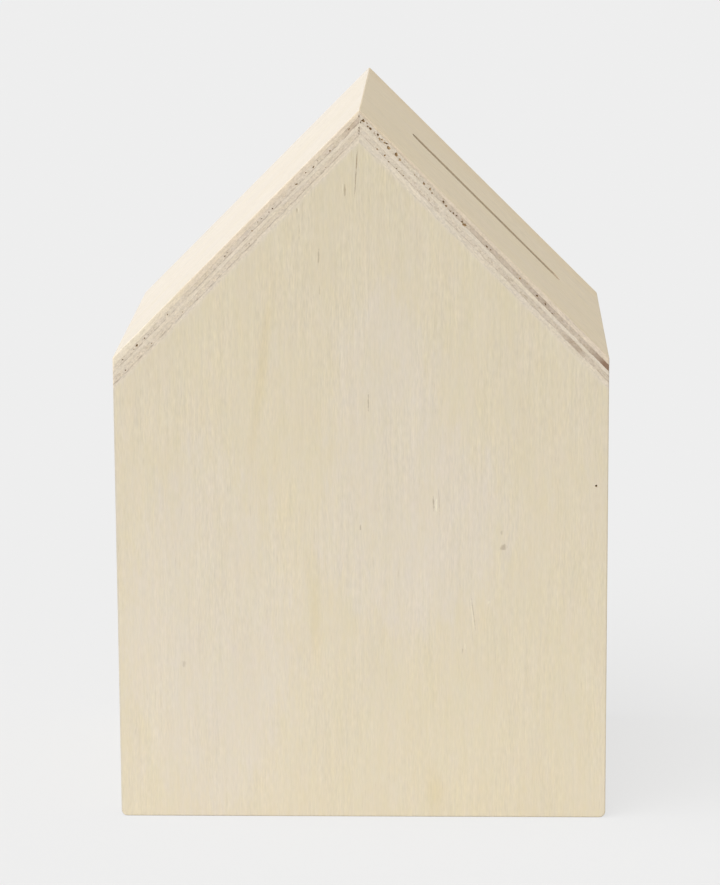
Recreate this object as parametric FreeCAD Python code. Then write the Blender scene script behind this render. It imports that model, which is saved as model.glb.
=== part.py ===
import FreeCAD, Part
import math
import os

# House-shaped money box in five-ply sheet. Millimetres, +Z up, front face towards -Y.
# The box stands on z = 0, with the origin under the middle of it.

# Carcass
box_width = 120.0
box_depth = 90.0
eave_height = 116.0
roof_pitch = 45.0
veneer = 1.1
ply_count = 5
sheet = veneer * ply_count
arris_round = 0.6           # sanding on every outer edge
foot_round = 1.5            # heavier sanding along the foot of each side wall

# Coin slot, cut square to the right-hand roof panel
slot_length = 52.5
slot_width = 4.6
slot_down_slope = 43.2      # ridge line to the middle of the slot, along the slope
slot_setback = 2.0          # middle of the slot behind the middle of the panel

# Base panel, let in above the foot of the walls, with the emptying hole
base_raise = 6.0
hole_diameter = 32.0

# Stopper, a hollow moulded bung with a flange under the base panel
bung_clearance = 0.08       # radial, between the ribs and the hole
rib_depth = 0.7
rib_rise = 1.8              # length of a rib's taper, narrow end up
rib_count = 2
rib_pitch = 2.8
first_rib = 0.8             # seat to the foot of the lowest rib
bung_height = 9.0           # above the flange's seat
bung_wall = 2.2
bung_lead = 1.0             # taper round the open top
bung_floor = 2.4            # closed end, above the seat
flange_overlap = 4.0        # flange beyond the edge of the hole
flange_thickness = 2.2
flange_bevel = 0.7
dish_depth = 0.8            # shallow recess in the outer face
dish_diameter = 24.0
tab_width = 9.0
tab_reach = 6.5             # lift tab beyond the flange
tab_thickness = 1.6

# Worked out from the sizes above
slope = math.radians(roof_pitch)
half_width = box_width / 2
half_depth = box_depth / 2
ridge_height = eave_height + half_width * math.tan(slope)
roof_plumb = sheet / math.cos(slope)        # roof sheet measured straight down
inner_half_width = half_width - sheet
inner_half_depth = half_depth - sheet
hole_radius = hole_diameter / 2
flange_radius = hole_radius + flange_overlap
through = 3 * sheet                         # cutters run past both faces of a sheet
tolerance = 1e-4


def vec(x, y, z):
    return FreeCAD.Vector(x, y, z)


def prism(section, y_start, y_end):
    """Solid with a closed (x, z) section that runs along Y."""
    corners = [vec(x, y_start, z) for x, z in section]
    face = Part.Face(Part.makePolygon(corners + corners[:1]))
    return face.extrude(vec(0, y_end - y_start, 0))


def house_section(drop):
    """Gable outline, with its slopes and eaves lowered by drop."""
    return [
        (-half_width, 0),
        (half_width, 0),
        (half_width, eave_height - drop),
        (0, ridge_height - drop),
        (-half_width, eave_height - drop),
    ]


def sanded_house():
    """Whole outside of the glued box, with its outer edges rounded by sanding."""
    house = prism(house_section(0), -half_depth, half_depth)
    feet = [e for e in house.Edges if e.BoundBox.YLength > sheet and e.BoundBox.ZMax < tolerance]
    house = house.makeFillet(foot_round, feet)
    gable_edges = [e for e in house.Edges if e.BoundBox.YLength < tolerance]
    along_depth = [e for e in house.Edges if e.BoundBox.YLength > sheet]
    roof_edges = [e for e in along_depth if e.BoundBox.ZMin > eave_height / 2]
    return house.makeFillet(arris_round, gable_edges + roof_edges)


def gable_panel(house, y_start):
    """Front or back panel: full width, to the floor, under the roof sheets."""
    return prism(house_section(roof_plumb), y_start, y_start + sheet).common(house)


def side_wall(house, side):
    """Wall between the gable panels, its top bevelled to the roof pitch."""
    outer_top = eave_height - roof_plumb
    section = [
        (side * inner_half_width, 0),
        (side * half_width, 0),
        (side * half_width, outer_top),
        (side * inner_half_width, outer_top + sheet * math.tan(slope)),
    ]
    return prism(section, -inner_half_depth, inner_half_depth).common(house)


def roof_panel(house, side):
    """Roof sheet, mitred at the ridge and cut plumb with the wall at the eave."""
    section = [
        (0, ridge_height),
        (side * half_width, eave_height),
        (side * half_width, eave_height - roof_plumb),
        (0, ridge_height - roof_plumb),
    ]
    return prism(section, -half_depth, half_depth).common(house)


def slot_cutter():
    """Round-ended slot through the right roof sheet, longer side down the slope."""
    radius = slot_width / 2
    reach = slot_length / 2 - radius
    cutter = Part.makeBox(2 * reach, slot_width, through, vec(-reach, -radius, -through / 2))
    for end in (-reach, reach):
        cutter = cutter.fuse(Part.makeCylinder(radius, through, vec(end, 0, -through / 2)))
    cutter = cutter.removeSplitter()
    cutter.rotate(vec(0, 0, 0), vec(0, 1, 0), roof_pitch)
    across = slot_down_slope * math.cos(slope)
    down = slot_down_slope * math.sin(slope)
    cutter.translate(vec(across, slot_setback, ridge_height - down))
    return cutter


def base_panel():
    """Floor of the box between the four walls, with the emptying hole."""
    corner = vec(-inner_half_width, -inner_half_depth, base_raise)
    floor = Part.makeBox(2 * inner_half_width, 2 * inner_half_depth, sheet, corner)
    return floor.cut(Part.makeCylinder(hole_radius, through, vec(0, 0, base_raise - sheet)))


def bung_section():
    """Half section of the bung as (radius, z) points, with the flange's seat at z = 0."""
    rib_radius = hole_radius - bung_clearance
    neck_radius = rib_radius - rib_depth
    inner_radius = neck_radius - bung_wall
    dish_radius = dish_diameter / 2
    section = [
        (0, dish_depth - flange_thickness),
        (dish_radius - dish_depth, dish_depth - flange_thickness),
        (dish_radius, -flange_thickness),
        (flange_radius - flange_bevel, -flange_thickness),
        (flange_radius, flange_bevel - flange_thickness),
        (flange_radius, 0),
        (neck_radius, 0),
    ]
    for rib in range(rib_count):
        foot = first_rib + rib * rib_pitch
        section += [(neck_radius, foot), (rib_radius, foot), (neck_radius, foot + rib_rise)]
    section += [
        (neck_radius, bung_height - bung_lead),
        (neck_radius - bung_lead, bung_height),
        (inner_radius, bung_height),
        (inner_radius, bung_floor),
        (0, bung_floor),
    ]
    return section


def stopper():
    """Bung turned from its section, with a lift tab on the flange's rim."""
    corners = [vec(radius, 0, z) for radius, z in bung_section()]
    half_section = Part.Face(Part.makePolygon(corners + corners[:1]))
    bung = half_section.revolve(vec(0, 0, 0), vec(0, 0, 1), 360)
    tip_radius = tab_width / 2
    tip = flange_radius + tab_reach - tip_radius
    root = vec(-tip_radius, hole_radius, -tab_thickness)
    tab = Part.makeBox(tab_width, tip - hole_radius, tab_thickness, root)
    tab = tab.fuse(Part.makeCylinder(tip_radius, tab_thickness, vec(0, tip, -tab_thickness)))
    bung = bung.fuse(tab).removeSplitter()
    bung.translate(vec(0, 0, base_raise))
    return bung


def build():
    house = sanded_house()
    pieces = {
        "front_panel": gable_panel(house, -half_depth),
        "back_panel": gable_panel(house, inner_half_depth),
        "left_wall": side_wall(house, -1),
        "right_wall": side_wall(house, 1),
        "left_roof_panel": roof_panel(house, -1),
        "right_roof_panel": roof_panel(house, 1).cut(slot_cutter()),
        "base_panel": base_panel(),
        "stopper": stopper(),
    }
    os.makedirs("parts", exist_ok=True)
    for name, shape in pieces.items():
        solid = shape.Solids[0]
        if len(shape.Solids) != 1 or not solid.isValid():
            raise ValueError(name + " is not one valid solid")
        solid.exportStep("parts/" + name + ".step")
        print(name, round(solid.Volume, 1), "mm3")


build()
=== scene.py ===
import math
import random

import bmesh
import bpy
import mathutils
from mathutils import Matrix, Vector


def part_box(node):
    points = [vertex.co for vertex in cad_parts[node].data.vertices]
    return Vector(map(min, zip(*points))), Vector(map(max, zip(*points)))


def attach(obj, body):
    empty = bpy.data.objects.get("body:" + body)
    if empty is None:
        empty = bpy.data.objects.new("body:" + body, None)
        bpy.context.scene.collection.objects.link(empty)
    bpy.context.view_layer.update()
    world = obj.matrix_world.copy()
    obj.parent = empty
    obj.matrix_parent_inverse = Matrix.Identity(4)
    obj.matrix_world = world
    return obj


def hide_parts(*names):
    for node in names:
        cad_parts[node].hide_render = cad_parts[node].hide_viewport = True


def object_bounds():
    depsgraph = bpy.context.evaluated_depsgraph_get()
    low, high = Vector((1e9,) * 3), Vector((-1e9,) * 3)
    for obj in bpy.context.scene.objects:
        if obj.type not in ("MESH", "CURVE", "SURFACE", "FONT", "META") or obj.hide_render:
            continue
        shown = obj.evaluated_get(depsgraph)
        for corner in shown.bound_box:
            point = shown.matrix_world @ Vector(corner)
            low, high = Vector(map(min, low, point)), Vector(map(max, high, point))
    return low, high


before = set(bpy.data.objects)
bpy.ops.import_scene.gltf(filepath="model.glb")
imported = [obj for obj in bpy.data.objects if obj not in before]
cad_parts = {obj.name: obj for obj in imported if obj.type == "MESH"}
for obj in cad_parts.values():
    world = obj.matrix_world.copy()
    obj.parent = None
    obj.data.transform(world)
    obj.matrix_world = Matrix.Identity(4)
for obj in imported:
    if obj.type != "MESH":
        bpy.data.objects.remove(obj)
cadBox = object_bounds()
mm = 0.001

# sizes read off the frame, in metres
frontLow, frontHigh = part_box("front_panel")
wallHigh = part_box("right_wall")[1]
baseLow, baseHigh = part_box("base_panel")
halfWidth = frontHigh.x
halfDepth = cadBox[1].y
sheet = frontHigh.y - frontLow.y
plumb = sheet * math.sqrt(2)  # roof sheet measured straight down
eave = wallHigh.z + plumb - sheet
ridge = eave + halfWidth  # 45 degree roof
slopeLength = halfWidth * math.sqrt(2)
innerX = halfWidth - sheet
innerY = halfDepth - sheet
xAxis, yAxis, zAxis = Vector((1, 0, 0)), Vector((0, 1, 0)), Vector((0, 0, 1))
upRight = Vector((-1, 0, 1)).normalized()  # up the right-hand slope
upLeft = Vector((1, 0, 1)).normalized()
rightNormal, leftNormal = upLeft, upRight  # square to a slope is along the other one
ridgeLine = Vector((0, 0, ridge))
underRidge = Vector((0, 0, ridge - plumb))
print("frame: width %.1f depth %.1f ridge %.1f mm" % (2 * halfWidth / mm, 2 * halfDepth / mm, ridge / mm))


# shader helpers

def feed(tree, socket, value):
    if isinstance(value, bpy.types.NodeSocket):
        tree.links.new(value, socket)
    else:
        socket.default_value = value


def calc(tree, operation, first, second=0.0, clamp=False):
    node = tree.nodes.new("ShaderNodeMath")
    node.operation = operation
    node.use_clamp = clamp
    feed(tree, node.inputs[0], first)
    feed(tree, node.inputs[1], second)
    return node.outputs[0]


def product(tree, first, *others):
    for other in others:
        first = calc(tree, "MULTIPLY", first, other)
    return first


def total(tree, first, *others):
    for other in others:
        first = calc(tree, "ADD", first, other)
    return first


def around(tree, value, amount):
    # a 0 to 1 noise as a change of plus or minus half the amount
    return calc(tree, "MULTIPLY", calc(tree, "SUBTRACT", value, 0.5), amount)


def calcVector(tree, operation, first, second):
    node = tree.nodes.new("ShaderNodeVectorMath")
    node.operation = operation
    feed(tree, node.inputs[0], first)
    feed(tree, node.inputs[1], second)
    return node.outputs["Value"] if operation in ("LENGTH", "DOT_PRODUCT") else node.outputs[0]


def blendValue(tree, factor, first, second):
    node = tree.nodes.new("ShaderNodeMix")
    feed(tree, node.inputs[0], factor)
    feed(tree, node.inputs[2], first)
    feed(tree, node.inputs[3], second)
    return node.outputs[0]


def blendColor(tree, factor, first, second, mode="MIX"):
    node = tree.nodes.new("ShaderNodeMix")
    node.data_type = "RGBA"
    node.blend_type = mode
    feed(tree, node.inputs[0], factor)
    feed(tree, node.inputs[6], first)
    feed(tree, node.inputs[7], second)
    return node.outputs[2]


def tinted(tree, color, tint, where=1.0):
    return blendColor(tree, where, color, tint, "MULTIPLY")


def step(tree, value, low, high, toLow=0.0, toHigh=1.0):
    node = tree.nodes.new("ShaderNodeMapRange")
    node.interpolation_type = "SMOOTHSTEP"
    feed(tree, node.inputs["Value"], value)
    for name, number in zip(("From Min", "From Max", "To Min", "To Max"), (low, high, toLow, toHigh)):
        node.inputs[name].default_value = number
    return node.outputs[0]


def noise(tree, position, stretch, detail=2.0, rough=0.5):
    node = tree.nodes.new("ShaderNodeTexNoise")
    node.inputs["Scale"].default_value = 1.0
    node.inputs["Detail"].default_value = detail
    node.inputs["Roughness"].default_value = rough
    feed(tree, node.inputs["Vector"], calcVector(tree, "MULTIPLY", position, stretch))
    return node.outputs[0]


def ramp(tree, value, stops):
    # grey level along a line, from (place, level) pairs
    node = tree.nodes.new("ShaderNodeValToRGB")
    marks = node.color_ramp.elements
    marks[0].position, marks[1].position = stops[0][0], stops[-1][0]
    for place, level in stops[1:-1]:
        marks.new(place)
    for mark, (place, level) in zip(marks, stops):
        mark.color = (level, level, level, 1)
    feed(tree, node.inputs[0], value)
    return node.outputs[0]


def split(tree, vector):
    node = tree.nodes.new("ShaderNodeSeparateXYZ")
    feed(tree, node.inputs[0], vector)
    return node.outputs


def join(tree, x, y, z):
    node = tree.nodes.new("ShaderNodeCombineXYZ")
    for socket, value in zip(node.inputs, (x, y, z)):
        feed(tree, socket, value)
    return node.outputs[0]


def grey(tree, level):
    return join(tree, level, level, level)


def startGroup(name, inputs, outputs):
    tree = bpy.data.node_groups.new(name, "ShaderNodeTree")
    for label, kind, value in inputs:
        socket = tree.interface.new_socket(name=label, in_out="INPUT", socket_type="NodeSocket" + kind)
        if value is not None:
            socket.default_value = value
    for label, kind in outputs:
        tree.interface.new_socket(name=label, in_out="OUTPUT", socket_type="NodeSocket" + kind)
    return tree, tree.nodes.new("NodeGroupInput").outputs, tree.nodes.new("NodeGroupOutput").inputs


def useGroup(tree, group, **values):
    node = tree.nodes.new("ShaderNodeGroup")
    node.node_tree = group
    for name, value in values.items():
        feed(tree, node.inputs[name], value)
    return node.outputs


def newMaterial(name):
    material = bpy.data.materials.new(name)
    material.use_nodes = True
    return material, material.node_tree, material.node_tree.nodes["Principled BSDF"]


def addBump(tree, shader, height, strength, distance):
    bump = tree.nodes.new("ShaderNodeBump")
    bump.inputs["Strength"].default_value = strength
    bump.inputs["Distance"].default_value = distance
    feed(tree, bump.inputs["Height"], height)
    feed(tree, shader.inputs["Normal"], bump.outputs[0])


def srgb(red, green, blue):
    def linear(c):
        c = c / 255
        return c / 12.92 if c <= 0.04045 else ((c + 0.055) / 1.055) ** 2.4
    return (linear(red), linear(green), linear(blue), 1.0)


# plywood: five veneers, every second one turned, read in millimetres from the sheet's own frame
plyCount = 5
plyLook = {
    "veneer": sheet / mm / plyCount,
    "plyShift": 37.3,               # mm that the pattern moves from one veneer to the next
    "seedShift": 61.7,              # and from one sheet to the next
    "waviness": 0.08,               # slow wander of the veneers, as a share of their thickness
    "ragged": 0.15,                 # fine unevenness of the same
    "middle": (0.48, 0.55),         # where the inner half gives way to the outer, in shares of the sheet
    "sawn": 0.38,                   # uneven tone of the cut edges
    "hair": 0.14,                   # strength of the grain, from fine to broad
    "streak": 0.12,
    "broad": 0.05,
    "pore": srgb(150, 122, 88),
    "pores": 0.12,
    "dots": 0.44,                   # open vessels on cut ends
    "fleckCells": (0.09, 0.03, 0.0),   # one dark fleck at most in each 11 by 33 mm
    "fleckSize": (0.022, 0.055, 1.0),  # half width and half length, in cells
    "fleckRim": (1.0, 0.25),
    "fleckShare": 0.6,              # of the cells that have one
    "glue": srgb(122, 98, 78),
    "hueDrift": (0.4, 1.1),         # broad and fine drift of the wood's hue
    "warm": (1.0, 0.984, 0.89, 1),
    "pale": (1.0, 1.006, 1.09, 1),
    "blushShift": (17.0, 5.0, 3.0),
    "green": (0.979, 1.0, 0.987, 1),
    "pink": (1.018, 0.986, 1.0, 1),
    "roughness": 0.62,
    "roughStreak": 0.14,
    "roughEnd": 0.12,
    "specular": 0.25,
    "bump": (0.25, 0.06 * mm),      # strength and height
}
# changes per mm across the grain, along it and through the sheet, then detail and roughness
plyNoise = {
    "wander": ((0.11, 0.11, 0.0), 2.0, 0.5),
    "ragged": ((1.7, 1.7, 0.0), 2.0, 0.5),
    "lively": ((0.10, 0.03, 0.2), 2.0, 0.5),
    "hair": ((2.9, 0.42, 2.9), 1.0, 0.5),
    "streak": ((1.25, 0.05, 1.25), 3.0, 0.6),
    "broad": ((0.07, 0.008, 0.3), 2.0, 0.45),
    "broadHue": ((0.05, 0.02, 0.3), 2.0, 0.6),
    "fineHue": ((0.45, 0.11, 0.6), 3.0, 0.85),
    "blush": ((0.25, 0.09, 0.4), 4.0, 0.8),
    "pores": ((3.0, 0.16, 3.0), 1.0, 0.5),
    "vessels": ((1.2, 0.5, 2.8), 3.0, 0.65),
    "broken": ((0.5, 0.5, 0.9), 3.0, 0.6),
    "sawn": ((1.9, 1.9, 3.2), 1.0, 0.5),
}
# where a mask starts and where it is full, and its two levels if they aren't 0 and 1
plySteps = {
    # by the level of its noise
    "lively": (0.38, 0.62, 0.65, 1.3),
    "pores": (0.72, 0.80),
    "dots": (0.52, 0.70),
    "broken": (0.38, 0.62),
    # by how far the fibres, or the sheet's face, point out of the surface
    "endGrain": (0.35, 0.9),
    "edge": (0.9, 0.5),
    # by depth, in veneers
    "outerHalf": (2.4, 2.6),
    "line": (0.22, 0.04),
    "aboveInner": (0.3, 0.6),
    "belowOuter": (4.7, 4.4),
    "underCross": (0.3, 0.7, 0.35, 1.0),
}
# how high each part of the pattern stands
plyRelief = {"streak": 0.4, "hair": 0.4, "pores": -0.5, "dots": -0.9, "line": -0.5, "flecks": -1.0}


def fleckMask(tree, place):
    # short dark flecks along the grain, scattered over the cells of a stretched pattern
    cells = tree.nodes.new("ShaderNodeTexVoronoi")
    cells.inputs["Scale"].default_value = 1.0
    stretched = calcVector(tree, "MULTIPLY", place, plyLook["fleckCells"])
    feed(tree, cells.inputs["Vector"], stretched)
    away = calcVector(tree, "SUBTRACT", stretched, cells.outputs["Position"])
    away = calcVector(tree, "LENGTH", calcVector(tree, "DIVIDE", away, plyLook["fleckSize"]), (0, 0, 0))
    chance = split(tree, cells.outputs["Color"])[0]
    chosen = step(tree, chance, 1 - plyLook["fleckShare"], 1.0)
    return calc(tree, "MULTIPLY", step(tree, away, *plyLook["fleckRim"]), chosen)


def plyGroup():
    tree, given, out = startGroup(
        "plySheet",
        [("Position", "Vector", None), ("Normal", "Vector", None), ("Seed", "Float", 0.0),
         ("Face", "Color", srgb(222, 211, 188)), ("Core", "Color", srgb(140, 112, 90)),
         ("CoreInner", "Float", 0.3), ("CoreOuter", "Float", 0.3), ("Glue", "Float", 0.4),
         ("Speckle", "Float", 1.0), ("Flecks", "Float", 0.0), ("Grain", "Float", 1.0)],
        [("Color", "Color"), ("Roughness", "Float"), ("Height", "Float")],
    )

    def pattern(name, at):
        return noise(tree, at, *plyNoise[name])

    def mask(name, value):
        return step(tree, value, *plySteps[name])

    position = given["Position"]
    x, y, z = split(tree, position)
    nx, ny, nz = split(tree, given["Normal"])
    wander = around(tree, pattern("wander", position), plyLook["waviness"])
    ragged = around(tree, pattern("ragged", position), plyLook["ragged"])
    depth = total(tree, calc(tree, "DIVIDE", z, plyLook["veneer"]), wander, ragged)
    inSheet = calc(tree, "MINIMUM", calc(tree, "MAXIMUM", depth, 0.0), plyCount - 0.1)
    ply = calc(tree, "FLOOR", inSheet)
    turned = calc(tree, "MODULO", ply, 2.0)
    across = blendValue(tree, turned, x, y)
    along = blendValue(tree, turned, y, x)
    seedShift = product(tree, given["Seed"], plyLook["seedShift"])
    shift = total(tree, product(tree, ply, plyLook["plyShift"]), seedShift)
    place = join(tree, calc(tree, "ADD", across, shift), calc(tree, "SUBTRACT", along, shift), z)
    # grain: short hair lines, longer streaks, broad drift
    lively = product(tree, mask("lively", pattern("lively", place)), given["Grain"])
    hair, streak, broad = [pattern(name, place) for name in ("hair", "streak", "broad")]
    broadHue = around(tree, pattern("broadHue", place), plyLook["hueDrift"][0])
    fineHue = around(tree, pattern("fineHue", place), plyLook["hueDrift"][1])
    hue = total(tree, broadHue, fineHue, 0.5)
    blush = pattern("blush", calcVector(tree, "ADD", place, plyLook["blushShift"]))
    pores = mask("pores", pattern("pores", place))
    # end grain where a ply's own fibres run out of the surface
    endGrain = mask("endGrain", calc(tree, "ABSOLUTE", blendValue(tree, turned, ny, nx)))
    edge = mask("edge", calc(tree, "ABSOLUTE", nz))
    strength = blendValue(tree, mask("outerHalf", depth), given["CoreInner"], given["CoreOuter"])
    cut = calc(tree, "MULTIPLY", endGrain, strength)
    dots = product(tree, mask("dots", pattern("vessels", place)), endGrain, given["Speckle"])
    # glue lines between the plies, broken up along their length
    line = mask("line", calc(tree, "PINGPONG", depth, 0.5))
    inside = product(tree, mask("aboveInner", depth), mask("belowOuter", depth), edge)
    broken = mask("broken", pattern("broken", join(tree, y, x, ply)))
    underCross = mask("underCross", calc(tree, "PINGPONG", depth, 1.0))
    line = product(tree, line, inside, broken, underCross)
    # tone and colour
    sawn = around(tree, pattern("sawn", position), plyLook["sawn"])
    grain = total(tree, around(tree, hair, plyLook["hair"]), around(tree, streak, plyLook["streak"]))
    tone = total(tree, product(tree, grain, lively), around(tree, broad, plyLook["broad"]),
                 product(tree, sawn, edge), 1.0)
    color = blendColor(tree, cut, given["Face"], given["Core"])
    color = tinted(tree, color, grey(tree, tone))
    color = tinted(tree, color, blendColor(tree, hue, plyLook["warm"], plyLook["pale"]))
    color = tinted(tree, color, blendColor(tree, blush, plyLook["green"], plyLook["pink"]))
    flecks = calc(tree, "MULTIPLY", fleckMask(tree, place), given["Flecks"])
    for dark in (product(tree, pores, plyLook["pores"]), product(tree, dots, plyLook["dots"]), flecks):
        color = blendColor(tree, dark, color, plyLook["pore"])
    color = blendColor(tree, product(tree, line, given["Glue"]), color, plyLook["glue"])
    feed(tree, out["Color"], color)
    roughStreak = around(tree, streak, plyLook["roughStreak"])
    rough = total(tree, roughStreak, product(tree, endGrain, plyLook["roughEnd"]), plyLook["roughness"])
    feed(tree, out["Roughness"], rough)
    parts = {"streak": streak, "hair": hair, "pores": pores, "dots": dots, "line": line, "flecks": flecks}
    relief = [product(tree, part, plyRelief[name]) for name, part in parts.items()]
    feed(tree, out["Height"], total(tree, *relief))
    return tree


plySheet = plyGroup()


def sheetFrame(acrossGrain, alongGrain, onFace):
    # turn and shift that bring a panel into its sheet's own frame, with z from its inner face
    turn = Matrix((acrossGrain, alongGrain, acrossGrain.cross(alongGrain)))
    return {"turn": turn.to_euler(), "rise": -(turn @ (onFace / mm)).z}


def plyMaterial(name, place, seed, look, extra=None):
    material, tree, shader = newMaterial(name)
    coords = tree.nodes.new("ShaderNodeTexCoord")
    toSheet = tree.nodes.new("ShaderNodeMapping")
    toSheet.inputs["Scale"].default_value = (1 / mm, 1 / mm, 1 / mm)
    toSheet.inputs["Rotation"].default_value = place["turn"]
    toSheet.inputs["Location"].default_value = (0, 0, place["rise"])
    feed(tree, toSheet.inputs["Vector"], coords.outputs["Object"])
    facing = tree.nodes.new("ShaderNodeMapping")
    facing.vector_type = "VECTOR"
    facing.inputs["Rotation"].default_value = place["turn"]
    feed(tree, facing.inputs["Vector"], coords.outputs["Normal"])
    position, normal = toSheet.outputs[0], facing.outputs[0]
    across, along, deep = split(tree, position)
    grain = blendValue(tree, calc(tree, "DIVIDE", along, ridge / mm), *look["grain"])
    inner, outer = look["coreInner"], look["coreOuter"]
    if "leanOuter" in look:  # a roof sheet: its cross plies change from the ridge to the eave
        fromRidge = calc(tree, "SUBTRACT", ridge / mm / math.sqrt(2), along)
        fromRidge = calc(tree, "DIVIDE", fromRidge, slopeLength / mm)
        inner, outer = ramp(tree, fromRidge, inner), ramp(tree, fromRidge, outer)
        outerHalf = step(tree, deep, *[share * sheet / mm for share in plyLook["middle"]])
        innerDrift = blendValue(tree, fromRidge, *look["leanInner"])
        drift = blendValue(tree, outerHalf, innerDrift, blendValue(tree, fromRidge, *look["leanOuter"]))
        position = calcVector(tree, "ADD", position, join(tree, 0, 0, drift))
    wood = useGroup(tree, plySheet, Position=position, Normal=normal, Seed=seed, Face=look["face"],
                    Core=look["core"], CoreInner=inner, CoreOuter=outer, Glue=look["glue"],
                    Speckle=look["speckle"], Flecks=look["flecks"], Grain=grain)
    color, height = wood["Color"], wood["Height"]
    if extra:
        color, height = extra(tree, position, normal, look, color, height)
    feed(tree, shader.inputs["Base Color"], color)
    feed(tree, shader.inputs["Roughness"], wood["Roughness"])
    shader.inputs["Specular IOR Level"].default_value = plyLook["specular"]
    addBump(tree, shader, height, *plyLook["bump"])
    return material


gableLook = {
    "face": srgb(222, 211, 186),
    "core": srgb(140, 112, 90),
    "coreInner": 0.28,   # darkness of the two cross plies where they are cut
    "coreOuter": 0.28,
    "glue": 0.4,
    "speckle": 1.0,
    "flecks": 0.8,
    "grain": (1.0, 1.0),  # strength of the grain, low and high on the sheet
}
roofRightLook = {
    "face": srgb(217, 206, 187),
    "core": srgb(136, 108, 86),
    # darkness of each cross ply, from the ridge to the eave
    "coreInner": [(0.0, 0.03), (0.3, 0.04), (0.5, 0.05), (0.62, 0.11), (0.80, 0.17), (0.86, 0.24),
                  (0.89, 0.46), (0.93, 0.46), (0.95, 0.16), (1.0, 0.16)],
    "coreOuter": [(0.0, 0.12), (0.07, 0.04), (0.25, 0.06), (0.36, 0.24), (0.50, 0.30), (0.70, 0.34),
                  (0.76, 0.46), (0.82, 0.30), (0.90, 0.26), (0.95, 0.45), (0.985, 0.70), (1.0, 0.95)],
    "leanOuter": (-0.62, 0.25),          # mm that the veneers drift, ridge to eave
    "leanInner": (-0.6, -0.05),
    "glue": 0.30,
    "speckle": 1.0,
    "flecks": 0.0,
    "grain": (1.9, 1.9),
    "paintedLightTint": (1.035, 1.0, 0.89, 1),  # outer face, yellower as painted shade of the sheet away from the key light, and its veneer's own cut edge
    "edgeSpan": (6.0, 36.0),             # mm from the ridge over which that edge changes
    "ridgeEdge": (0.925, 0.875, 0.80, 1),
    "eaveEdge": (0.985, 0.95, 0.915, 1),
    "backTint": (0.995, 0.955, 0.90, 1),
    "frontTint": (1.012, 1.0, 0.985, 1),
}
roofLeftLook = {
    "face": srgb(221, 209, 189),
    "core": srgb(146, 116, 92),
    "coreInner": [(0.0, 0.10), (0.3, 0.08), (1.0, 0.03)],
    "coreOuter": [(0.0, 0.36), (0.06, 0.34), (0.10, 0.12), (0.22, 0.05), (0.5, 0.10), (1.0, 0.02)],
    "leanOuter": (0.0, 0.6),
    "leanInner": (-0.15, 0.45),
    "glue": 0.46,
    "speckle": 0.6,
    "flecks": 0.0,
    "grain": (1.9, 1.9),
    # outer face paler and bluer: painted sheen of the sheet that the key light falls on
    "paintedLightTint": (1.005, 1.047, 1.125, 1),
    "edgeSpan": (44.0, 84.0),
    "ridgeEdge": (1.03, 1.0, 0.965, 1),
    "eaveEdge": (1.12, 1.13, 1.11, 1),
    "backTint": (1.0, 1.0, 1.0, 1),
    "frontTint": (1.0, 1.0, 1.0, 1),
}


def spot(tree, position, place, size, lean=0.0):
    # 0 in the middle of an oval on the sheet's face and 1 at its rim
    x, y, z = split(tree, calcVector(tree, "SUBTRACT", position, (place[0], place[1], 0.0)))
    x = calc(tree, "SUBTRACT", x, product(tree, y, lean))
    away = join(tree, calc(tree, "DIVIDE", x, size[0]), calc(tree, "DIVIDE", y, size[1]), 0.0)
    return calcVector(tree, "LENGTH", away, (0, 0, 0))


# what sets the front apart, mm from the middle and from the table
frontLook = {
    "paintedLightFoot": 1.035,          # painted light, brighter low on the left: level at the foot, and its change for each mm up and to the right
    "paintedLightPerRise": -0.0006,
    "paintedLightPerRight": -0.00025,
    "peakTint": (1.0, 0.997, 0.972, 1),
    "paleZones": [((6, 102), (13, 30)), ((13, 74), (23, 26)), ((-38, 46), (20, 44))],
    "paleTint": (1.002, 1.01, 1.07, 1),
    "paleRim": (1.2, 0.8),
    "paleFray": 1.4,
    "streaks": [((-24, 112), (2.0, 32), 0.125), ((-11.5, 51), (2.2, 15), -0.05), ((17.5, 6), (4, 9), 0.0)],
    "streakTint": (0.985, 0.968, 0.90, 1),
    "streakRim": (1.1, 0.1),
    "streakFray": 0.9,
    "fray": ((0.35, 0.06, 0.0), 5.0, 0.7),  # noise that breaks up the rims of these
    "joint": (0.9, 0.0),        # pale margin under the roof sheets
    "jointTint": (1.012, 1.015, 1.06, 1),
    "jointFray": 0.8,
    "side": (0.6, 0.1),         # rounded left edge, darkened as painted shade against the key light that falls on it
    "leftEdgeShadeTint": (0.84, 0.86, 0.92, 1),
    "leftPart": (30.0, -30.0),
    "mark": srgb(124, 98, 66),
    "torn": srgb(244, 236, 210),  # raised fibres beside a mark
    "markRim": (1.0, 0.25),
    "markFray": 1.6,
    "markNoise": ((2.2, 1.1, 0.0), 2.0),
}
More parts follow.
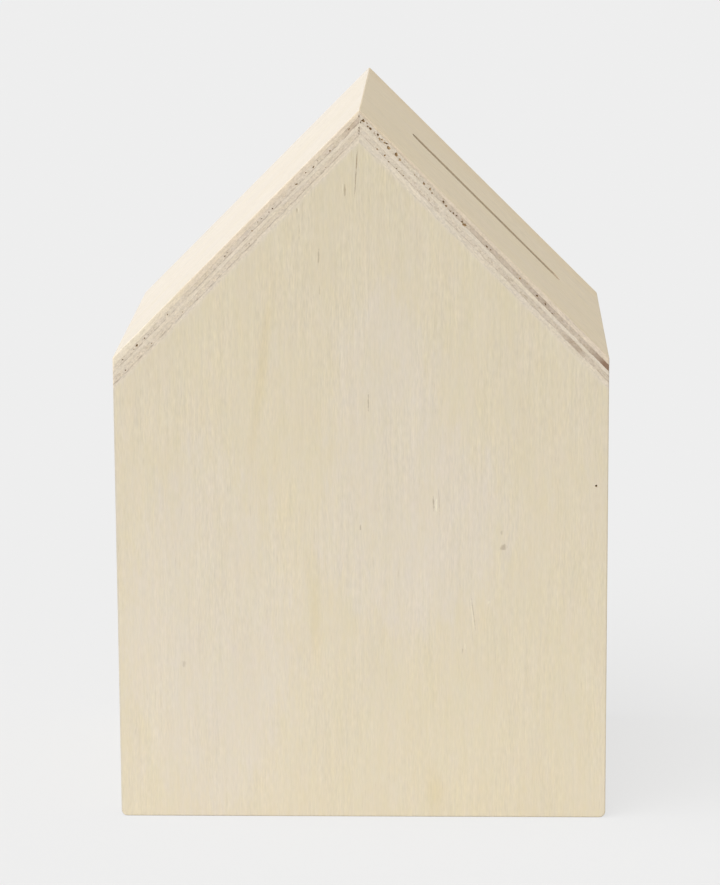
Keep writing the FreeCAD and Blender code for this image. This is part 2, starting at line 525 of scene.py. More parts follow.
frontMarks = [
    # place, half width and half length, lean, strength
    ((-15.0, 151.9), (0.24, 1.0), 0.0, 0.36),
    ((-14.5, 147.0), (0.16, 2.6), 0.0, 0.20),
    ((17.6, 79.9), (0.24, 2.2), -0.05, 0.42),
    ((18.95, 80.4), (0.16, 4.2), -0.03, 0.26),
    ((27.4, 51.8), (0.17, 5.6), -0.13, 0.26),
    ((-0.75, 161.8), (0.24, 6.2), 0.055, 0.22),
    ((-3.5, 156.6), (0.30, 2.5), 0.0, 0.38),
    ((-9.9, 140.6), (0.24, 2.6), 0.03, 0.34),
    ((-9.7, 132.5), (0.20, 1.7), 0.0, 0.24),
    ((1.9, 105.0), (0.24, 3.4), 0.0, 0.36),
    ((-0.2, 73.8), (0.22, 0.8), 0.0, 0.40),
    ((34.2, 72.6), (0.32, 0.9), 0.0, 0.26),
    ((24.7, 42.9), (0.22, 1.0), 0.0, 0.26),
    ((34.6, 68.8), (1.05, 0.95), 0.3, 0.36),
    ((-43.8, 39.2), (0.75, 1.1), 0.0, 0.20),
]
tornMarks = [
    ((18.28, 79.2), (0.30, 2.4), 0.0, 0.60),
    ((27.05, 51.8), (0.20, 5.2), -0.13, 0.36),
    ((25.3, 44.0), (0.22, 1.0), 0.0, 0.40),
    ((31.1, 55.0), (0.34, 0.6), 0.5, 0.36),
    ((-14.6, 151.7), (0.18, 1.0), 0.0, 0.40),
    ((-4.0, 157.2), (0.20, 1.6), 0.0, 0.30),
]


def frontFace(tree, position, normal, look, color, height):
    x, y, z = split(tree, position)
    fray = noise(tree, position, *frontLook["fray"])
    # painted light: the front gets brighter towards the foot and towards the left
    rise = product(tree, y, frontLook["paintedLightPerRise"])
    tone = total(tree, rise, product(tree, x, frontLook["paintedLightPerRight"]), frontLook["paintedLightFoot"])
    color = tinted(tree, color, grey(tree, tone))
    color = tinted(tree, color, frontLook["peakTint"], step(tree, y, eave / mm, ridge / mm))
    zones = None
    for place, size in frontLook["paleZones"]:
        pale = spot(tree, position, place, size)
        rim = calc(tree, "ADD", pale, around(tree, fray, frontLook["paleFray"]))
        zone = step(tree, rim, *frontLook["paleRim"])
        zones = zone if zones is None else calc(tree, "MAXIMUM", zones, zone)
    color = tinted(tree, color, frontLook["paleTint"], zones)
    for place, size, lean in frontLook["streaks"]:
        streak = spot(tree, position, place, size, lean)
        rim = calc(tree, "ADD", streak, around(tree, fray, frontLook["streakFray"]))
        color = tinted(tree, color, frontLook["streakTint"], step(tree, rim, *frontLook["streakRim"]))
    fromMiddle = calc(tree, "ABSOLUTE", x)
    underRoof = calc(tree, "SUBTRACT", (ridge - plumb) / mm, total(tree, y, fromMiddle))
    underRoof = product(tree, underRoof, math.sqrt(0.5))
    underRoof = total(tree, underRoof, around(tree, fray, frontLook["jointFray"]))
    color = tinted(tree, color, frontLook["jointTint"], step(tree, underRoof, *frontLook["joint"]))
    # painted shade on the rounded left edge, darker and less orange where the key light makes it bright
    toSide = step(tree, calc(tree, "SUBTRACT", halfWidth / mm, fromMiddle), *frontLook["side"])
    paintedShadeLeftEdge = product(tree, toSide, step(tree, x, *frontLook["leftPart"]))
    color = tinted(tree, color, frontLook["leftEdgeShadeTint"], paintedShadeLeftEdge)
    markFray = around(tree, noise(tree, position, *frontLook["markNoise"]), frontLook["markFray"])
    for kind, tint in ((tornMarks, "torn"), (frontMarks, "mark")):
        marks = None
        for place, size, lean, strength in kind:
            rim = calc(tree, "ADD", spot(tree, position, place, size, lean), markFray)
            mark = step(tree, rim, *frontLook["markRim"], 0.0, strength)
            marks = mark if marks is None else calc(tree, "MAXIMUM", marks, mark)
        color = blendColor(tree, marks, color, frontLook[tint])
    return color, calc(tree, "SUBTRACT", height, marks)


# what the two roof sheets share, in mm
roofLook = {
    "outerVeneer": (4.25, 4.5),     # from the inner face
    "facing": (0.5, 0.95),          # how squarely a surface faces out
    "backSpan": (22.0, 52.0),       # from the middle, over which the tints of the ends come in
    "frontSpan": (-30.0, -48.0),
    "uneven": 26.0,
    "unevenNoise": ((0.09, 0.05, 0.0), 3.0, 0.6),
}


def roofFace(tree, position, normal, look, color, height):
    # the outer face, which changes from the front edge to the back one, and the cut edge of its veneer
    x, y, z = split(tree, position)
    outer = step(tree, z, *roofLook["outerVeneer"])
    onFace = product(tree, step(tree, split(tree, normal)[2], *roofLook["facing"]), outer)
    onEdge = calc(tree, "SUBTRACT", outer, onFace)
    uneven = around(tree, noise(tree, position, *roofLook["unevenNoise"]), roofLook["uneven"])
    toBack = calc(tree, "ADD", x, uneven)
    # painted light on the outer face: sheen on the left sheet, shade on the right one
    color = tinted(tree, color, look["paintedLightTint"], onFace)
    for span, tint in (("backSpan", "backTint"), ("frontSpan", "frontTint")):
        nearEnd = product(tree, onFace, step(tree, toBack, *roofLook[span]))
        color = tinted(tree, color, look[tint], nearEnd)
    toEave = step(tree, calc(tree, "SUBTRACT", ridge / mm / math.sqrt(2), y), *look["edgeSpan"])
    edgeTint = blendColor(tree, toEave, look["ridgeEdge"], look["eaveEdge"])
    return tinted(tree, color, edgeTint, onEdge), height


# sawn walls of the coin slot, browner than the faces, and darker still as painted shade inside the narrow
# slot
slotShadeLook = {
    "face": srgb(200, 182, 154),
    "core": srgb(136, 108, 86),
    "coreInner": 0.3,
    "coreOuter": 0.3,
    "glue": 0.42,
    "speckle": 1.0,
    "flecks": 0.0,
    "grain": (1.0, 1.0),
}

plainGable = dict(gableLook, flecks=0.0, grain=(0.95, 1.55))  # the front has its own marks
frontSheet = sheetFrame(xAxis, zAxis, Vector((0, -innerY, 0)))
backSheet = sheetFrame(-xAxis, zAxis, Vector((0, innerY, 0)))
leftSheet = sheetFrame(-yAxis, zAxis, Vector((-innerX, 0, 0)))
rightSheet = sheetFrame(yAxis, zAxis, Vector((innerX, 0, 0)))
roofLeftSheet = sheetFrame(-yAxis, upLeft, underRidge)
roofRightSheet = sheetFrame(yAxis, upRight, underRidge)
baseSheet = sheetFrame(yAxis, -xAxis, Vector((0, 0, baseLow.z)))
plyFront = plyMaterial("plyFront", frontSheet, 1, plainGable, frontFace)
plyBack = plyMaterial("plyBack", backSheet, 2, gableLook)
plyLeft = plyMaterial("plyLeft", leftSheet, 3, gableLook)
plyRight = plyMaterial("plyRight", rightSheet, 4, gableLook)
plyRoofRight = plyMaterial("plyRoofRight", roofRightSheet, 5, roofRightLook, roofFace)
plyRoofLeft = plyMaterial("plyRoofLeft", roofLeftSheet, 6, roofLeftLook, roofFace)
plySlotShaded = plyMaterial("plySlotShaded", roofRightSheet, 5, slotShadeLook)
plyBase = plyMaterial("plyBase", baseSheet, 7, gableLook)


# torn gaps in the cross plies: brown torn wood, its deep colour darkened further as painted shade of the
# hollows
gapShadeLook = {
    "deep": srgb(148, 119, 84),
    "torn": srgb(197, 171, 131),
    "tornSpan": (0.42, 0.66),
    "roughness": (0.3, 0.7, 0.75, 0.95),
    "specular": 0.1,
    "fibres": ((2600, 2600, 2600), 3.0, 0.6),  # per metre
    "bump": (0.5, 0.1 * mm),
}


def gapShadeMaterial():
    material, tree, shader = newMaterial("plyGapShaded")
    coords = tree.nodes.new("ShaderNodeTexCoord")
    fibres = noise(tree, coords.outputs["Object"], *gapShadeLook["fibres"])
    color = blendColor(tree, step(tree, fibres, *gapShadeLook["tornSpan"]), gapShadeLook["deep"], gapShadeLook["torn"])
    feed(tree, shader.inputs["Base Color"], color)
    feed(tree, shader.inputs["Roughness"], step(tree, fibres, *gapShadeLook["roughness"]))
    shader.inputs["Specular IOR Level"].default_value = gapShadeLook["specular"]
    addBump(tree, shader, fibres, *gapShadeLook["bump"])
    return material


plyGapShaded = gapShadeMaterial()


# stopper rubber: fine moulded skin with a patchy bloom
rubberLook = {
    "skin": (0.030, 0.029, 0.029, 1),
    "bloom": (0.075, 0.073, 0.071, 1),
    "bloomSpan": (0.42, 0.72),
    "bloomNoise": ((0.16, 0.16, 0.16), 4.0, 0.6),
    "pebbleNoise": ((4.5, 4.5, 4.5), 3.0, 0.55),
    "roughness": 0.42,
    "roughBloom": 0.18,
    "roughPebble": 0.2,
    "specular": 0.4,
    "bump": (0.3, 0.05 * mm),
}


def rubberMaterial():
    material, tree, shader = newMaterial("stopperRubber")
    coords = tree.nodes.new("ShaderNodeTexCoord")
    position = calcVector(tree, "MULTIPLY", coords.outputs["Object"], (1 / mm, 1 / mm, 1 / mm))
    bloom = step(tree, noise(tree, position, *rubberLook["bloomNoise"]), *rubberLook["bloomSpan"])
    pebble = noise(tree, position, *rubberLook["pebbleNoise"])
    color = blendColor(tree, bloom, rubberLook["skin"], rubberLook["bloom"])
    feed(tree, shader.inputs["Base Color"], color)
    rough = total(tree, product(tree, bloom, rubberLook["roughBloom"]),
                  product(tree, pebble, rubberLook["roughPebble"]), rubberLook["roughness"])
    feed(tree, shader.inputs["Roughness"], rough)
    shader.inputs["Specular IOR Level"].default_value = rubberLook["specular"]
    addBump(tree, shader, pebble, *rubberLook["bump"])
    return material


stopperRubber = rubberMaterial()
print("materials made")


# mesh helpers, in metres
meshWork = {
    "sharp": math.radians(25),   # least turn of an edge that is rounded
    "crease": math.radians(40),  # and of one that stays sharp in the shading
    "flat": 0.9999,              # how well a face lines up with a sheet
    "cut": 1e-7,
    "near": 1e-6,
    "sliver": 2e-6,
    "endShare": 0.4999,          # round of an end, just under half the width so that it stays clean
}


def sharpEdges(bm, least=meshWork["sharp"]):
    return [e for e in bm.edges if len(e.link_faces) == 2 and e.calc_face_angle() > least]


def roundEdges(bm, edges, offset, segments):
    bmesh.ops.bevel(bm, geom=edges, offset=offset, offset_type="OFFSET", segments=segments,
                    profile=0.5, affect="EDGES", material=-1, clamp_overlap=True)


def cutAway(bm, point, direction):
    # takes off what lies beyond the plane and closes the cut
    everything = bm.verts[:] + bm.edges[:] + bm.faces[:]
    cut = bmesh.ops.bisect_plane(bm, geom=everything, dist=meshWork["cut"], plane_co=point,
                                 plane_no=direction, clear_outer=True)
    rim = [g for g in cut["geom_cut"] if isinstance(g, bmesh.types.BMEdge)]
    bmesh.ops.edgeloop_fill(bm, edges=rim)


def block(bm, size, place):
    made = bmesh.ops.create_cube(bm, size=1)["verts"]
    bmesh.ops.scale(bm, vec=size, verts=made)
    bmesh.ops.translate(bm, vec=place, verts=made)


def roundEnded(bm, length, width, height, endSteps):
    # block with half-round ends, long side on X
    block(bm, (length, width, height), (0, 0, 0))
    upright = [e for e in bm.edges if abs(e.verts[0].co.z - e.verts[1].co.z) > height / 2]
    roundEdges(bm, upright, meshWork["endShare"] * width, endSteps)


def asObject(bm, name, material):
    bmesh.ops.remove_doubles(bm, verts=bm.verts[:], dist=meshWork["near"])
    bmesh.ops.recalc_face_normals(bm, faces=bm.faces[:])
    mesh = bpy.data.meshes.new(name)
    bm.to_mesh(mesh)
    bm.free()
    mesh.materials.append(material)
    made = bpy.data.objects.new(name, mesh)
    bpy.context.scene.collection.objects.link(made)
    return made


def carve(piece, tool, operation="DIFFERENCE"):
    # cuts or joins two objects and keeps the result as plain mesh
    cut = piece.modifiers.new("carve", "BOOLEAN")
    cut.object = tool
    cut.operation = operation
    cut.solver = "EXACT"
    cut.use_self = True  # pits may run into each other
    cut.material_mode = "TRANSFER"
    before, name = piece.data, piece.data.name
    after = bpy.data.meshes.new_from_object(piece.evaluated_get(bpy.context.evaluated_depsgraph_get()))
    piece.modifiers.clear()
    piece.data = after
    bpy.data.objects.remove(tool)
    bpy.data.meshes.remove(before)
    after.name = name


def reshape(piece, change):
    bm = bmesh.new()
    bm.from_mesh(piece.data)
    change(bm)
    bm.to_mesh(piece.data)
    bm.free()


def dress(piece, node, body, flatFaces):
    def soften(bm):
        for face in bm.faces:  # faces of the sheets stay flat, roundings are smooth
            face.smooth = all(abs(face.normal.dot(facing)) < meshWork["flat"] for facing in flatFaces)
        for edge in sharpEdges(bm, meshWork["crease"]):
            edge.smooth = False
        bmesh.ops.triangulate(bm, faces=bm.faces[:], quad_method="FIXED", ngon_method="EAR_CLIP")
        # slivers that the cuts left
        bmesh.ops.dissolve_degenerate(bm, edges=bm.edges[:], dist=meshWork["sliver"])
    reshape(piece, soften)
    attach(piece, body)
    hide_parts(node)


sheetFaces = (xAxis, yAxis, zAxis, rightNormal, leftNormal)

# pits: torn gaps along the edges of the cross plies
pitShape = {
    "crossPlies": (1.5, 3.5),   # middle of each, in veneers from a face
    "halfLong": (0.20, 0.55),   # mm along the edge
    "halfWide": (0.12, 0.26),   # across the ply
    "deep": (0.25, 0.7),
    "offMiddle": (-0.25, 0.25),
    "spacing": 6.5,
    "first": (0.2, 1.0),        # place of the first gap, in spacings
    "endMargin": 2,
    "tilt": (-0.5, 0.5),
    "detail": 2,
    "ragged": 0.9,
    "lumps": 2.0,
    "lumpSpread": (0, 50),
    # gaps that have their own places on the roof
    "ownSize": {1: 1.0, -1: 0.75},  # right and left sheet
    "ownWide": (0.5, 0.8),      # as a share of the length
    "ownDeep": 0.6,
    "mitre": (0.12, 0.4),       # half width and depth
}


def pit(place, along, across, size, tilt=0.0):
    return {"place": place, "along": along, "across": across, "size": size, "tilt": tilt}


def scatteredPits(rng, start, along, length, across, spacing):
    # random gaps along one edge of a sheet, from a corner of it
    pits = []
    for ply in pitShape["crossPlies"]:
        gone = rng.uniform(*pitShape["first"]) * spacing
        while gone < length / mm - pitShape["endMargin"]:
            size = [rng.uniform(*pitShape[key]) for key in ("halfLong", "halfWide", "deep")]
            depth = ply * plyLook["veneer"] + rng.uniform(*pitShape["offMiddle"])
            place = start + along * gone * mm + across * depth * mm
            pits.append(pit(place, along, across, size, rng.uniform(*pitShape["tilt"])))
            gone += size[0] + rng.expovariate(1 / spacing)
    return pits


def pitTool(rng, pits):
    bm = bmesh.new()
    for one in pits:
        inward = one["along"].cross(one["across"])
        turn = Matrix((one["along"], one["across"], inward)).transposed().to_4x4()
        tilt = Matrix.Rotation(one["tilt"], 4, "Z")
        grow = Matrix.Diagonal([s * mm for s in one["size"]] + [1])
        made = bmesh.ops.create_icosphere(bm, subdivisions=pitShape["detail"], radius=1)["verts"]
        lumpPlace = Vector((rng.uniform(*pitShape["lumpSpread"]), rng.uniform(*pitShape["lumpSpread"]), 0))
        for vert in made:
            lump = mathutils.noise.noise(vert.co * pitShape["lumps"] + lumpPlace)
            vert.co *= 1 + lump * pitShape["ragged"]
        bmesh.ops.transform(bm, matrix=Matrix.Translation(one["place"]) @ turn @ tilt @ grow, verts=made)
    return asObject(bm, "pitTool", plyGapShaded)


# panels: one sanded house outline, cut into its sheets the way they meet
houseShape = {
    "arris": 0.35 * mm,      # sanded round on the outer edges
    "arrisSteps": 4,
    "footRound": 1.5 * mm,   # foot of the side walls
    "footSteps": 6,
}


def sandedHouse():
    bm = bmesh.new()
    outline = [(-halfWidth, 0), (halfWidth, 0), (halfWidth, eave), (0, ridge), (-halfWidth, eave)]
    gable = bm.faces.new([bm.verts.new((x, -halfDepth, z)) for x, z in outline])
    grown = bmesh.ops.extrude_face_region(bm, geom=[gable])["geom"]
    grownVerts = [g for g in grown if isinstance(g, bmesh.types.BMVert)]
    bmesh.ops.translate(bm, vec=(0, 2 * halfDepth, 0), verts=grownVerts)
    bmesh.ops.recalc_face_normals(bm, faces=bm.faces[:])
    onFloor = [e for e in bm.edges if all(v.co.z < meshWork["near"] for v in e.verts)]
    feet = [e for e in onFloor if abs(e.verts[0].co.y - e.verts[1].co.y) > sheet]
    roundEdges(bm, feet, houseShape["footRound"], houseShape["footSteps"])
    roundEdges(bm, sharpEdges(bm), houseShape["arris"], houseShape["arrisSteps"])
    return bm


# a pin hole and a hairline crack in the front: x, z, half height, half width, deep, all in mm, and tilt
frontFlaws = [
    (57.1, 84.3, 0.28, 0.26, 0.6, 0.0),
    (-0.55, 164.2, 2.6, 0.05, 0.10, 0.06),
    (-0.95, 158.4, 2.8, 0.04, 0.08, 0.06),
]


def gablePanel(name, node, side, material, seed):
    bm = sandedHouse()
    cutAway(bm, Vector((0, side * innerY, 0)), yAxis * -side)
    cutAway(bm, underRidge, rightNormal)
    cutAway(bm, underRidge, leftNormal)
    panel = asObject(bm, name, material)
    rng = random.Random(seed)
    pits = []
    for end in (-1, 1):
        corner = Vector((end * halfWidth, side * halfDepth, 0))
        pits += scatteredPits(rng, corner, zAxis, eave - plumb, yAxis * -side, pitShape["spacing"])
    if side < 0:
        for x, z, tall, wide, deep, tilt in frontFlaws:
            pits.append(pit(Vector((x * mm, -halfDepth, z * mm)), zAxis, xAxis, (tall, wide, deep), tilt))
    carve(panel, pitTool(rng, pits))
    dress(panel, node, "box", sheetFaces)


def sideWall(name, node, side, material):
    bm = sandedHouse()
    cutAway(bm, Vector((side * innerX, 0, 0)), xAxis * -side)
    cutAway(bm, Vector((0, innerY, 0)), yAxis)
    cutAway(bm, Vector((0, -innerY, 0)), -yAxis)
    cutAway(bm, underRidge, rightNormal if side > 0 else leftNormal)
    dress(asObject(bm, name, material), node, "box", sheetFaces)


# coin slot, square to the right-hand slope
slotShape = {
    "length": 52.5 * mm,
    "width": 4.6 * mm,
    "downSlope": 43.2 * mm,   # ridge line to the middle of the slot
    "setback": 2.0 * mm,      # behind the middle of the panel
    "endSteps": 12,
    "mouthRound": 0.15 * mm,
    "mouthSteps": 2,
}


def cutSlot(panel):
    place = ridgeLine - upRight * slotShape["downSlope"] + yAxis * slotShape["setback"]
    turn = Matrix((-upRight, yAxis, rightNormal)).transposed().to_4x4()
    bm = bmesh.new()
    roundEnded(bm, slotShape["length"], slotShape["width"], 3 * sheet, slotShape["endSteps"])
    bmesh.ops.transform(bm, matrix=Matrix.Translation(place) @ turn, verts=bm.verts[:])
    carve(panel, asObject(bm, "slotTool", plySlotShaded))

    def easeMouth(bm):
        def onMouth(vert):
            away = vert.co - place
            near = abs(away.dot(upRight)) < slotShape["length"] and abs(away.y) < slotShape["width"]
            return near and abs(away.dot(rightNormal)) < meshWork["near"]
        rim = [e for e in bm.edges if all(onMouth(v) for v in e.verts)]
        roundEdges(bm, rim, slotShape["mouthRound"], slotShape["mouthSteps"])
    reshape(panel, easeMouth)


# gaps along the front edge of each roof sheet, picked one by one in the photograph, in mm:
# down from the ridge, in from the outer face, half length, deep
roofGaps = {
    1: [(2.5, 1.1, 0.46, 0.7), (2.4, 1.9, 0.26, 0.5), (3.6, 0.95, 0.22, 0.2), (4.3, 1.4, 0.28, 0.35),
        (5.1, 1.3, 0.36, 0.8), (6.5, 1.4, 0.2, 0.2), (7.4, 1.1, 0.36, 0.8), (8.4, 1.5, 0.34, 0.3),
        (8.9, 1.2, 0.3, 0.35), (9.8, 1.3, 0.3, 0.3), (10.3, 1.1, 0.36, 0.65), (11.4, 1.5, 0.5, 0.45),
        (13.9, 1.4, 0.5, 0.4), (15.3, 1.6, 0.34, 0.25), (20.4, 1.7, 0.2, 0.2), (23.4, 1.6, 0.34, 0.3),
        (25.4, 1.5, 0.36, 0.3), (26.4, 1.85, 0.24, 0.4), (29.9, 1.45, 0.42, 0.7), (31.0, 1.7, 0.3, 0.35),
        (32.6, 1.9, 0.24, 0.35), (33.5, 1.7, 0.28, 0.7), (34.4, 1.6, 0.26, 0.45), (36.4, 1.7, 0.34, 0.6),
        (37.3, 1.8, 0.5, 0.35), (44.8, 1.75, 0.32, 0.7), (46.0, 1.65, 0.24, 0.35), (55.9, 1.6, 0.3, 0.3),
        (61.8, 1.65, 0.3, 0.8), (64.7, 1.7, 0.3, 0.8), (67.4, 2.15, 0.24, 0.4),
        (9.7, 3.6, 0.26, 0.2), (12.0, 3.4, 0.26, 0.2), (13.8, 3.8, 0.26, 0.4), (16.3, 3.65, 0.2, 0.3),
        (17.2, 3.75, 0.18, 0.2), (18.6, 3.7, 0.2, 0.2)],
    -1: [(5.0, 1.6, 0.4, 0.25), (11.9, 2.0, 0.36, 0.3), (15.6, 1.6, 0.18, 0.2), (17.4, 1.95, 0.4, 0.5),
         (19.7, 1.6, 0.3, 0.4), (23.2, 1.95, 0.46, 0.5), (31.5, 2.0, 0.32, 0.6), (32.7, 2.0, 0.22, 0.5),
         (35.1, 1.9, 0.3, 0.5), (36.3, 1.8, 0.2, 0.4), (38.8, 2.3, 0.3, 0.15), (46.8, 1.75, 0.18, 0.3),
         (47.8, 2.0, 0.3, 0.7), (67.8, 2.1, 0.24, 0.35), (74.7, 2.25, 0.24, 0.6), (75.9, 2.25, 0.36, 0.45),
         (78.5, 2.15, 0.5, 0.5), (79.7, 2.3, 0.2, 0.5), (83.5, 2.15, 0.3, 0.5), (84.8, 4.4, 0.3, 0.4),
         (15.4, 4.1, 0.18, 0.2), (41.5, 4.0, 0.2, 0.2), (64.8, 4.25, 0.22, 0.35), (75.6, 4.3, 0.24, 0.25)],
}
mitreGaps = [(1.5, 0.4), (4.3, 0.25), (5.1, 0.36), (5.8, 0.2)]  # mm under the ridge, half height


def roofPits(rng, side):
    down = -(upRight if side > 0 else upLeft)
    inward = -(rightNormal if side > 0 else leftNormal)
    corner = ridgeLine - yAxis * halfDepth
    pits = []
    for gone, depth, size, deep in roofGaps[side]:
        place = corner + down * gone * mm + inward * depth * mm
        long = size * pitShape["ownSize"][side]
        halves = (long, long * rng.uniform(*pitShape["ownWide"]), deep * pitShape["ownDeep"])
        pits.append(pit(place, down, inward, halves, rng.uniform(*pitShape["tilt"])))
    start = ridgeLine + yAxis * halfDepth + down * plumb
    pits += scatteredPits(rng, start, down, slopeLength - 2 * plumb, inward, pitShape["spacing"])
    for drop, tall in mitreGaps:
        pits.append(pit(corner - zAxis * drop * mm, zAxis, xAxis, (tall, *pitShape["mitre"])))
    return pits


def roofPanel(name, node, side, material, seed):
    bm = sandedHouse()
    cutAway(bm, Vector((0, 0, 0)), xAxis * -side)
    cutAway(bm, underRidge, -(rightNormal if side > 0 else leftNormal))
    panel = asObject(bm, name, material)
    if side > 0:
        cutSlot(panel)
    rng = random.Random(seed)
    carve(panel, pitTool(rng, roofPits(rng, side)))
    dress(panel, node, "box", sheetFaces)


gablePanel("frontPanel", "front_panel", -1, plyFront, 11)
gablePanel("backPanel", "back_panel", 1, plyBack, 12)
sideWall("leftWall", "left_wall", -1, plyLeft)
sideWall("rightWall", "right_wall", 1, plyRight)
roofPanel("leftRoof", "left_roof_panel", -1, plyRoofLeft, 21)
roofPanel("rightRoof", "right_roof_panel", 1, plyRoofRight, 22)
print("walls and roof cut")


# base panel with its emptying hole
baseShape = {
    "holeRadius": 16 * mm,
    "holeSteps": 96,
    "mouthRound": 0.4 * mm,
    "mouthSteps": 3,
}


def basePanel():
    bm = bmesh.new()
    block(bm, baseHigh - baseLow, (baseLow + baseHigh) / 2)
    panel = asObject(bm, "basePanel", plyBase)
    bm = bmesh.new()
    radius = baseShape["holeRadius"]
    bmesh.ops.create_cone(bm, cap_ends=True, segments=baseShape["holeSteps"], radius1=radius,
                          radius2=radius, depth=4 * sheet)
    bmesh.ops.translate(bm, vec=(0, 0, baseLow.z), verts=bm.verts[:])
    carve(panel, asObject(bm, "holeTool", plyBase))

    def easeHole(bm):
        def onRim(vert):
            return math.hypot(vert.co.x, vert.co.y) < 1.01 * radius
        rims = [e for e in bm.edges if all(onRim(v) for v in e.verts)]
        rims = [e for e in rims if abs(e.verts[0].co.z - e.verts[1].co.z) < sheet / 2]
        roundEdges(bm, rims, baseShape["mouthRound"], baseShape["mouthSteps"])
    reshape(panel, easeHole)
    dress(panel, "base_panel", "box", sheetFaces)


basePanel()


# stopper: moulded bung with ribs, a flange and a lift tab, in millimetres from the flange's seat
stopperShape = {
    "ribRadius": 15.92,
    "neckRadius": 15.22,
    "ribFoot": (0.8, 3.6),
    "ribRise": 1.8,
    "height": 9.0,
    "wall": 2.2,
    "lead": 1.0,
    "floor": 2.4,
    "flangeRadius": 20.0,
    "flange": 2.2,
    "flangeBevel": 0.7,
    "dishRadius": 12.0,
    "dish": 0.8,
    "tabWidth": 9.0,
    "tabReach": 6.5,
    "tabThick": 1.6,
    "tabRoot": 2,              # from the dish to the hidden end of the tab
    "tabEndSteps": 12,
    "tabSharp": math.radians(60),
    "gripCount": 3,
    "gripPitch": 1.5,
    "gripInset": 1.6,          # from the tab's tip to the first bar
    "gripHalf": (2.6, 0.4, 0.35),
    "gripDetail": 3,
    "turnSteps": 96,
    "edgeRound": 0.22,
    "edgeSteps": 3,
}


def bungSection():
    s = stopperShape
    neck, rim, dish = s["neckRadius"], s["flangeRadius"], s["dishRadius"]
    low, top = -s["flange"], s["height"]
    section = [(0, low + s["dish"]), (dish - s["dish"], low + s["dish"]), (dish, low),
               (rim - s["flangeBevel"], low), (rim, low + s["flangeBevel"]), (rim, 0), (neck, 0)]
    for foot in s["ribFoot"]:
        section += [(neck, foot), (s["ribRadius"], foot), (neck, foot + s["ribRise"])]
    inner = neck - s["wall"]
    return section + [(neck, top - s["lead"]), (neck - s["lead"], top), (inner, top),
                      (inner, s["floor"]), (0, s["floor"])]


def seated(bm, name):
    # from the stopper's own millimetres to its place under the base
    seat = Matrix.Translation((0, 0, baseLow.z)) @ Matrix.Scale(mm, 4)
    bmesh.ops.transform(bm, matrix=seat, verts=bm.verts[:])
    return asObject(bm, name, stopperRubber)


def bung():
    s = stopperShape
    bm = bmesh.new()
    verts = [bm.verts.new((radius, 0, z)) for radius, z in bungSection()]
    line = [bm.edges.new(pair) for pair in zip(verts, verts[1:])]
    bmesh.ops.spin(bm, geom=verts + line, cent=(0, 0, 0), axis=(0, 0, 1), angle=2 * math.pi,
                   steps=s["turnSteps"], use_merge=True)
    bmesh.ops.remove_doubles(bm, verts=bm.verts[:], dist=1e-4)
    bmesh.ops.recalc_face_normals(bm, faces=bm.faces[:])
    roundEdges(bm, sharpEdges(bm), s["edgeRound"], s["edgeSteps"])
    return seated(bm, "rubberStopper")


def liftTab():
    s = stopperShape
    bm = bmesh.new()
    tip = s["flangeRadius"] + s["tabReach"]
    length = tip - s["dishRadius"] - s["tabRoot"]
    roundEnded(bm, length, s["tabWidth"], s["tabThick"], s["tabEndSteps"])
    bmesh.ops.remove_doubles(bm, verts=bm.verts[:], dist=1e-3)
    roundEdges(bm, sharpEdges(bm, s["tabSharp"]), s["edgeRound"], s["edgeSteps"])
    quarterTurn = Matrix.Rotation(math.pi / 2, 3, "Z")
    bmesh.ops.rotate(bm, verts=bm.verts[:], cent=(0, 0, 0), matrix=quarterTurn)
    bmesh.ops.translate(bm, vec=(0, tip - length / 2, -s["tabThick"] / 2), verts=bm.verts[:])
    return seated(bm, "tabTool")


def gripBars():
    # on the outer side of the tab
    s = stopperShape
    bm = bmesh.new()
    for count in range(s["gripCount"]):
        y = s["flangeRadius"] + s["tabReach"] - s["gripInset"] - count * s["gripPitch"]
        bar = bmesh.ops.create_icosphere(bm, subdivisions=s["gripDetail"], radius=1)["verts"]
        bmesh.ops.scale(bm, vec=s["gripHalf"], verts=bar)
        bmesh.ops.translate(bm, vec=(0, y, -s["tabThick"]), verts=bar)
    return seated(bm, "gripTool")


def stopper():
    piece = bung()
    carve(piece, liftTab(), "UNION")
    carve(piece, gripBars(), "UNION")
    dress(piece, "stopper", "stopper", (zAxis,))


stopper()
print("base and stopper made")


# studio: pale floor, one soft key from the upper left, even surroundings
studio = {
    "background": srgb(238, 238, 238),
    "floorHalf": 12,
    "floorColor": (0.72, 0.72, 0.72, 1),
    "floorRough": 0.9,
    "plainShare": 0.8,          # plain colour in the floor that the camera sees, which thins the shadow
    "worldLevel": 0.6,
    "keyLevel": 0.729,
    "keyDirection": (-0.446, -0.37, 0.815),
    "keySpread": 60,            # degrees
}
camera = {
    "lens": 147.99,
    "sensor": 36,
    "place": (0.02684, -0.90646, 0.28365),
    "tiltDown": 12.345,         # degrees
    "turnLeft": 1.798,
    "roll": -0.335,
}


def seenDirectly(tree):
    # camera, mirror and glass rays
    path = tree.nodes.new("ShaderNodeLightPath").outputs
    rays = calc(tree, "MAXIMUM", path["Is Camera Ray"], path["Is Glossy Ray"])
    return calc(tree, "MAXIMUM", rays, path["Is Transmission Ray"])


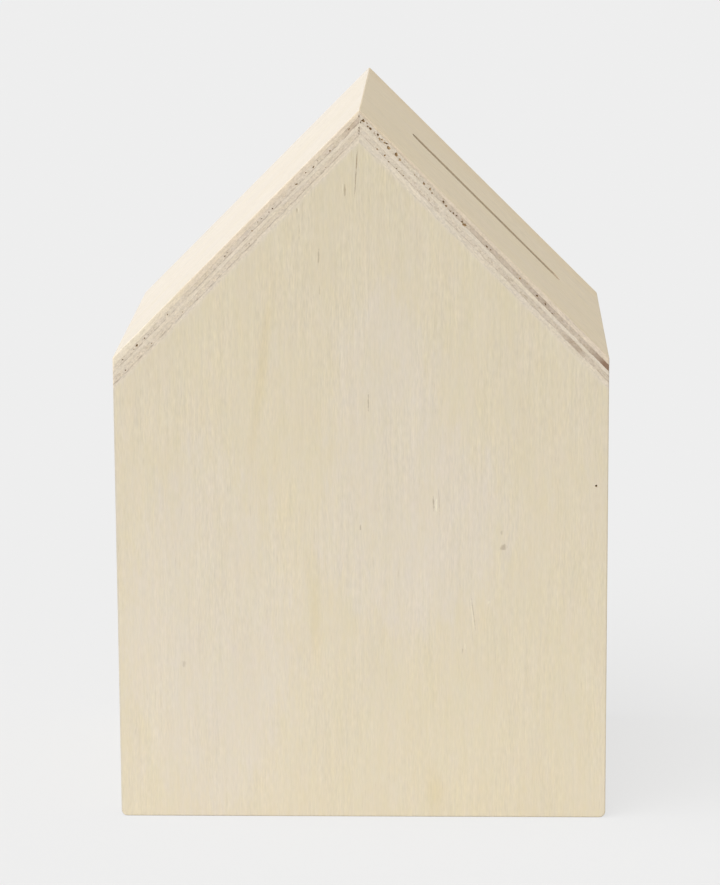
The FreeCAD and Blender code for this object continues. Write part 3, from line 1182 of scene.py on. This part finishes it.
def makeFloor():
    bm = bmesh.new()
    bmesh.ops.create_grid(bm, x_segments=1, y_segments=1, size=studio["floorHalf"])
    material, tree, shader = newMaterial("paleFloor")
    shader.inputs["Base Color"].default_value = studio["floorColor"]
    shader.inputs["Roughness"].default_value = studio["floorRough"]
    shader.inputs["Specular IOR Level"].default_value = 0.0
    plain = tree.nodes.new("ShaderNodeEmission")
    plain.inputs["Color"].default_value = studio["background"]
    share = tree.nodes.new("ShaderNodeMixShader")
    feed(tree, share.inputs[0], product(tree, seenDirectly(tree), studio["plainShare"]))
    feed(tree, share.inputs[1], shader.outputs[0])
    feed(tree, share.inputs[2], plain.outputs[0])
    feed(tree, tree.nodes["Material Output"].inputs["Surface"], share.outputs[0])
    asObject(bm, "floor", material)


def makeLight():
    scene = bpy.context.scene
    scene.world = bpy.data.worlds.new("studioWorld")
    scene.world.use_nodes = True
    tree = scene.world.node_tree
    level = studio["worldLevel"]
    seen = blendColor(tree, seenDirectly(tree), (level, level, level, 1), studio["background"])
    feed(tree, tree.nodes["Background"].inputs["Color"], seen)
    lamp = bpy.data.lights.new("key", "SUN")
    lamp.energy = studio["keyLevel"] * math.pi
    lamp.angle = math.radians(studio["keySpread"])
    key = bpy.data.objects.new("key", lamp)
    key.rotation_euler = Vector(studio["keyDirection"]).to_track_quat("Z", "Y").to_euler()
    scene.collection.objects.link(key)


def makeCamera():
    lens = bpy.data.cameras.new("camera")
    lens.lens = camera["lens"]
    lens.sensor_width = camera["sensor"]
    eye = bpy.data.objects.new("camera", lens)
    turn = Matrix.Rotation(math.radians(camera["turnLeft"]), 4, "Z")
    tilt = Matrix.Rotation(math.radians(90 - camera["tiltDown"]), 4, "X")
    roll = Matrix.Rotation(math.radians(camera["roll"]), 4, "Z")
    eye.matrix_world = Matrix.Translation(camera["place"]) @ turn @ tilt @ roll
    bpy.context.scene.collection.objects.link(eye)
    bpy.context.scene.camera = eye


makeFloor()
makeLight()
makeCamera()
bpy.context.scene.view_settings.view_transform = "Standard"
print("studio ready")
